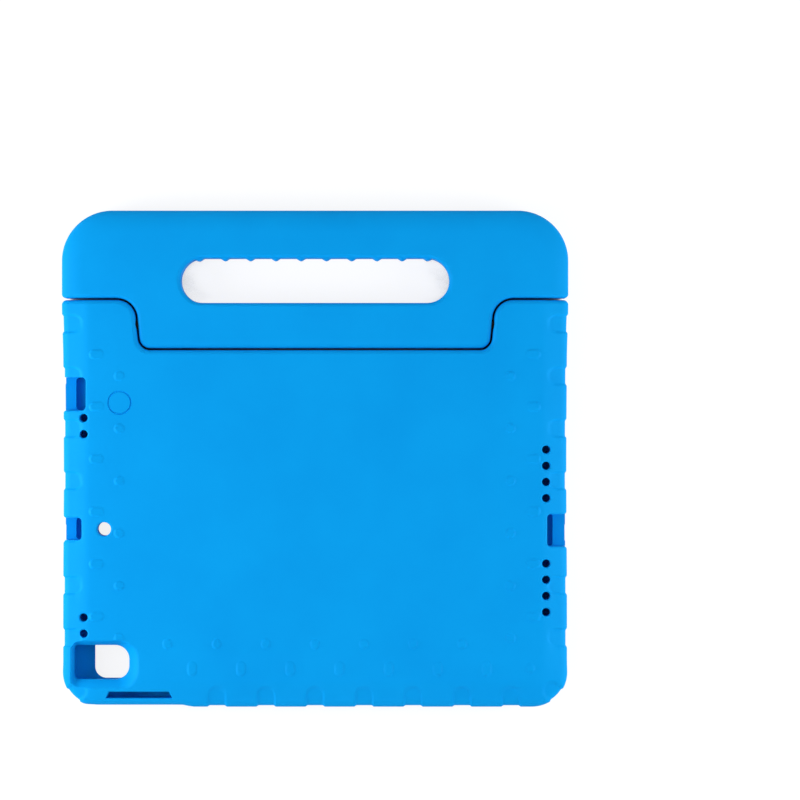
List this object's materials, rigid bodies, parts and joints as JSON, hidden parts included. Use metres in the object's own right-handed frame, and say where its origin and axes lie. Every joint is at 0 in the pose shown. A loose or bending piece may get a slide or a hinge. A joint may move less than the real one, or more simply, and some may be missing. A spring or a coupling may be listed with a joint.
{
  "type": "kids tablet case with handle",
  "caption": "Thick foam case for a 10-inch class tablet, with a screen window, port cut-outs, grip grooves and a carrying handle that folds back as a stand.",
  "frame": {"origin": "centre of the bottom of the bounding box, on the plane that the front rim lies on", "axes": "+X along the handle, to the right in the picture; +Y from the case up to the handle; +Z out of the back"},
  "size_m": [0.276, 0.2704, 0.0256],
  "materials": {
    "body_foam": "soft matte closed-cell EVA foam",
    "handle_foam": "soft matte closed-cell EVA foam",
    "hinge_plastic": "moulded nylon"
  },
  "bodies": {
    "case": {"case_body": "body_foam", "hinge_cup_left": "hinge_plastic", "hinge_cup_right": "hinge_plastic"},
    "folding_handle": {"handle": "handle_foam", "hinge_pin_left": "hinge_plastic", "hinge_pin_right": "hinge_plastic"}
  },
  "joints": [
    {"name": "handle_fold", "type": "hinge", "parent": "case", "child": "folding_handle", "pos_m": [0, 0.073, 0.0195], "axis": [1, 0, 0], "range_deg": [0, 120]}
  ]
}
